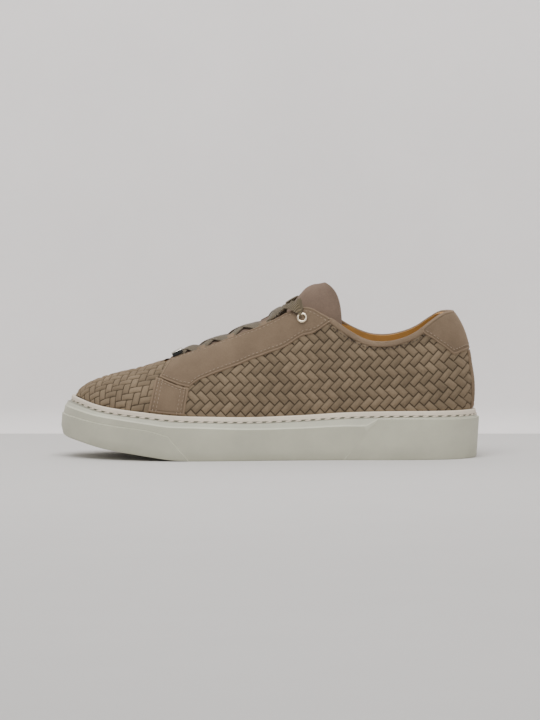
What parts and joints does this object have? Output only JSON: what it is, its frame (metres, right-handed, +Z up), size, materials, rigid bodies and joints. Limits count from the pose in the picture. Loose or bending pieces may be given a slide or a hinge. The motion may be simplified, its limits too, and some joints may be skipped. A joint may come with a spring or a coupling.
{
  "type": "low-top sneaker",
  "caption": "Left low-top sneaker with a woven suede upper, smooth suede overlays, flat laces and a rubber cup sole.",
  "frame": {"origin": "centre of the bounding box at the floor, midway between the sole's heel and toe and between its two sides", "axes": "-X towards the toe, +X towards the heel, -Y to the outer (lateral) side, +Y to the inner (medial) side, +Z up"},
  "size_m": [0.2998, 0.1066, 0.125],
  "materials": {
    "sole_rubber": "matt moulded off-white rubber",
    "insole_leather": "smooth tan leather",
    "woven_suede": "taupe suede strips in a twill weave",
    "tongue_suede": "brown suede",
    "smooth_suede": "taupe suede with a soft nap",
    "eyelet_metal": "polished pale champagne plating",
    "lace_cotton": "flat woven olive-brown cotton",
    "tag_metal": "polished metal with a dark face"
  },
  "bodies": {
    "root": {"cupsole": "sole_rubber", "insole": "insole_leather", "upper": "woven_suede", "tongue": "tongue_suede", "facing_lateral": "smooth_suede", "facing_medial": "smooth_suede", "strap_lateral": "smooth_suede", "strap_medial": "smooth_suede", "heel_tab": "smooth_suede", "back_stay": "smooth_suede", "eyelet_lateral": "eyelet_metal", "eyelet_medial": "eyelet_metal", "lace": "lace_cotton", "lace_tag": "tag_metal"}
  },
  "joints": []
}
